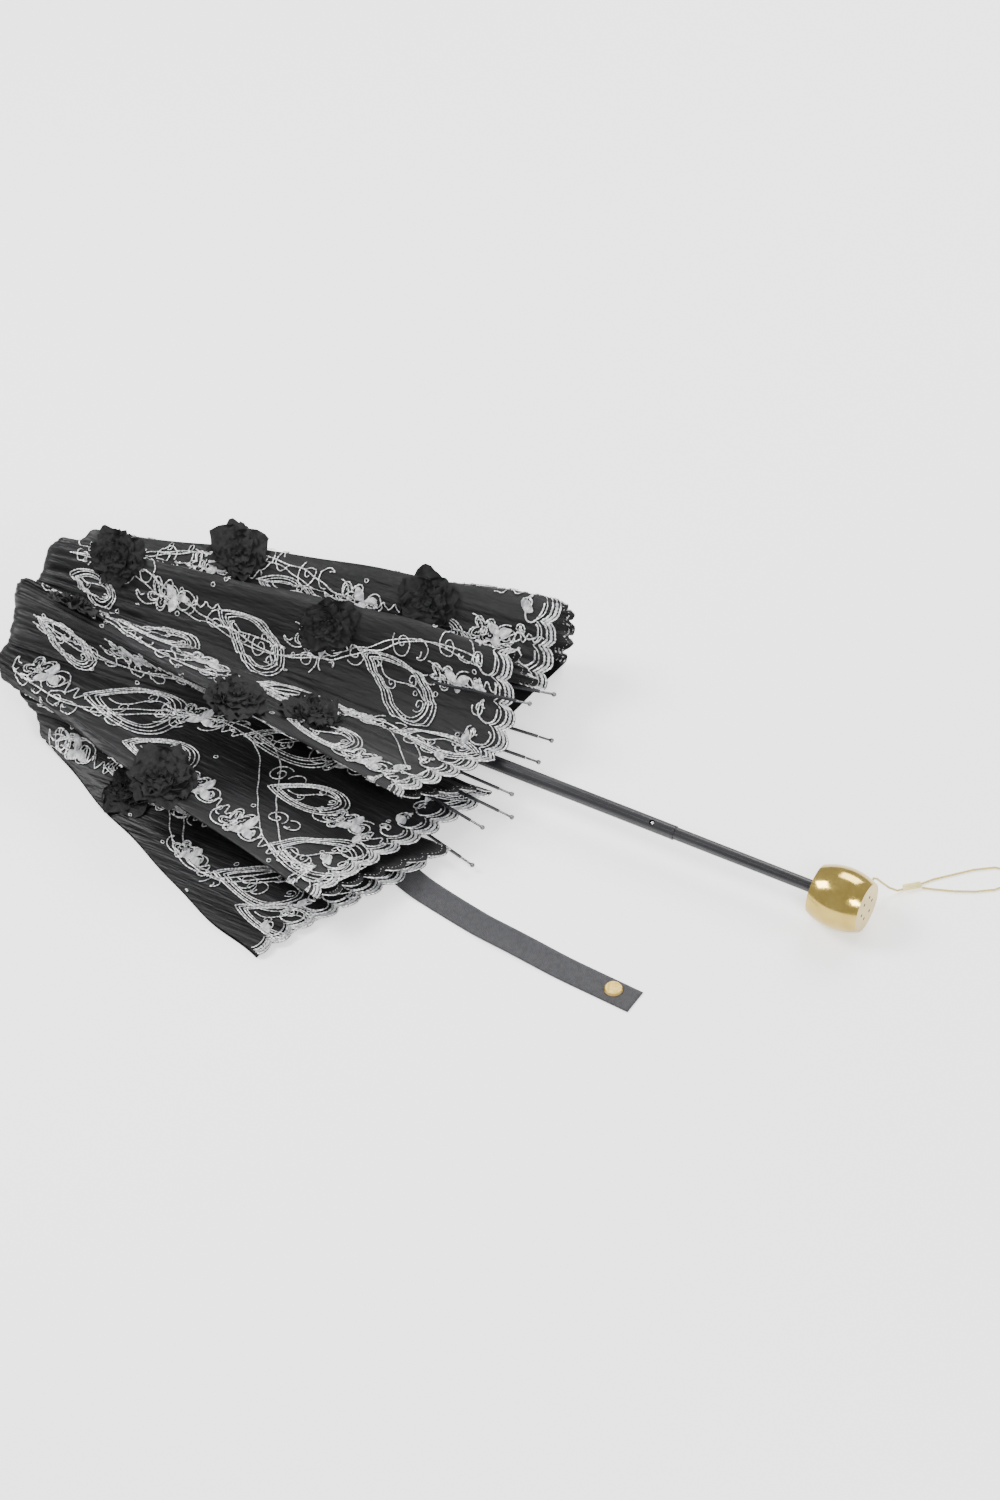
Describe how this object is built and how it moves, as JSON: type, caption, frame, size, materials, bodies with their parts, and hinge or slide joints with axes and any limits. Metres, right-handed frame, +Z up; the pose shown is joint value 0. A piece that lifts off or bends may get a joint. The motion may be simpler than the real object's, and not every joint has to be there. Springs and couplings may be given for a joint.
{
  "type": "folding lace parasol",
  "caption": "Folding parasol lying closed and loose: pleated lace canopy, fluted telescoping shaft, gold knob with wrist cord, tie strap with snap.",
  "frame": {"origin": "middle of the knob's flat end face, on the shaft's axis", "axes": "+X along the shaft from the canopy to the knob, +Z up from the surface it lies on"},
  "size_m": [0.6427, 0.319, 0.0925],
  "materials": {
    "lace": "satin under net, silver thread",
    "ribbon": "woven ribbon",
    "gold": "polished",
    "cord": "braided",
    "stopper": "gloss",
    "steel": "polished",
    "tip_metal": "dark nickel",
    "black_plastic": "satin",
    "black_paint": "satin black"
  },
  "bodies": {
    "canopy_frame": {"canopy": "lace", "ferrule_cap": "black_plastic", "notch_hub": "black_plastic", "notch_wire": "steel", "outer_tube": "black_paint", "tube_collar": "black_paint", "strap": "ribbon", "snap_cap": "gold", "snap_socket": "gold", "elbow_pins": "steel", "rib_1": "black_paint", "rib_2": "black_paint", "rib_3": "black_paint", "rib_4": "black_paint", "rib_5": "black_paint", "rib_6": "black_paint", "rib_7": "black_paint", "rib_8": "black_paint", "rib_tip_1": "tip_metal", "rib_tip_2": "tip_metal", "rib_tip_3": "tip_metal", "rib_tip_4": "tip_metal", "rib_tip_5": "tip_metal", "rib_tip_6": "tip_metal", "rib_tip_7": "tip_metal", "rib_tip_8": "tip_metal", "inner_rib_1": "black_paint", "inner_rib_2": "black_paint", "inner_rib_3": "black_paint", "inner_rib_4": "black_paint", "inner_rib_5": "black_paint", "inner_rib_6": "black_paint", "inner_rib_7": "black_paint", "inner_rib_8": "black_paint", "stretcher_1": "black_paint", "stretcher_2": "black_paint", "stretcher_3": "black_paint", "stretcher_4": "black_paint", "stretcher_5": "black_paint", "stretcher_6": "black_paint", "stretcher_7": "black_paint", "stretcher_8": "black_paint"},
    "lower_shaft": {"inner_tube": "black_paint", "lock_spring": "steel", "knob_shell": "gold", "knob_end_plate": "gold", "knob_sleeve": "black_plastic", "knob_pin": "steel", "cord_eyelet": "gold", "wrist_cord": "cord", "cord_stopper": "stopper"},
    "lock_ball": {"lock_ball": "steel"},
    "runner": {"runner": "black_plastic", "runner_wire": "steel"}
  },
  "joints": [
    {"name": "shaft_slide", "type": "slide", "parent": "canopy_frame", "child": "lower_shaft", "axis": [1, 0, 0], "range_m": [-0.098, 0]},
    {"name": "lock_press", "type": "slide", "parent": "lower_shaft", "child": "lock_ball", "axis": [0, -0.4226, 0.9063], "range_m": [-0.001, 0], "stiffness_N_per_m": 300},
    {"name": "runner_slide", "type": "slide", "parent": "canopy_frame", "child": "runner", "axis": [1, 0, 0], "range_m": [-0.03, 0.03]}
  ]
}
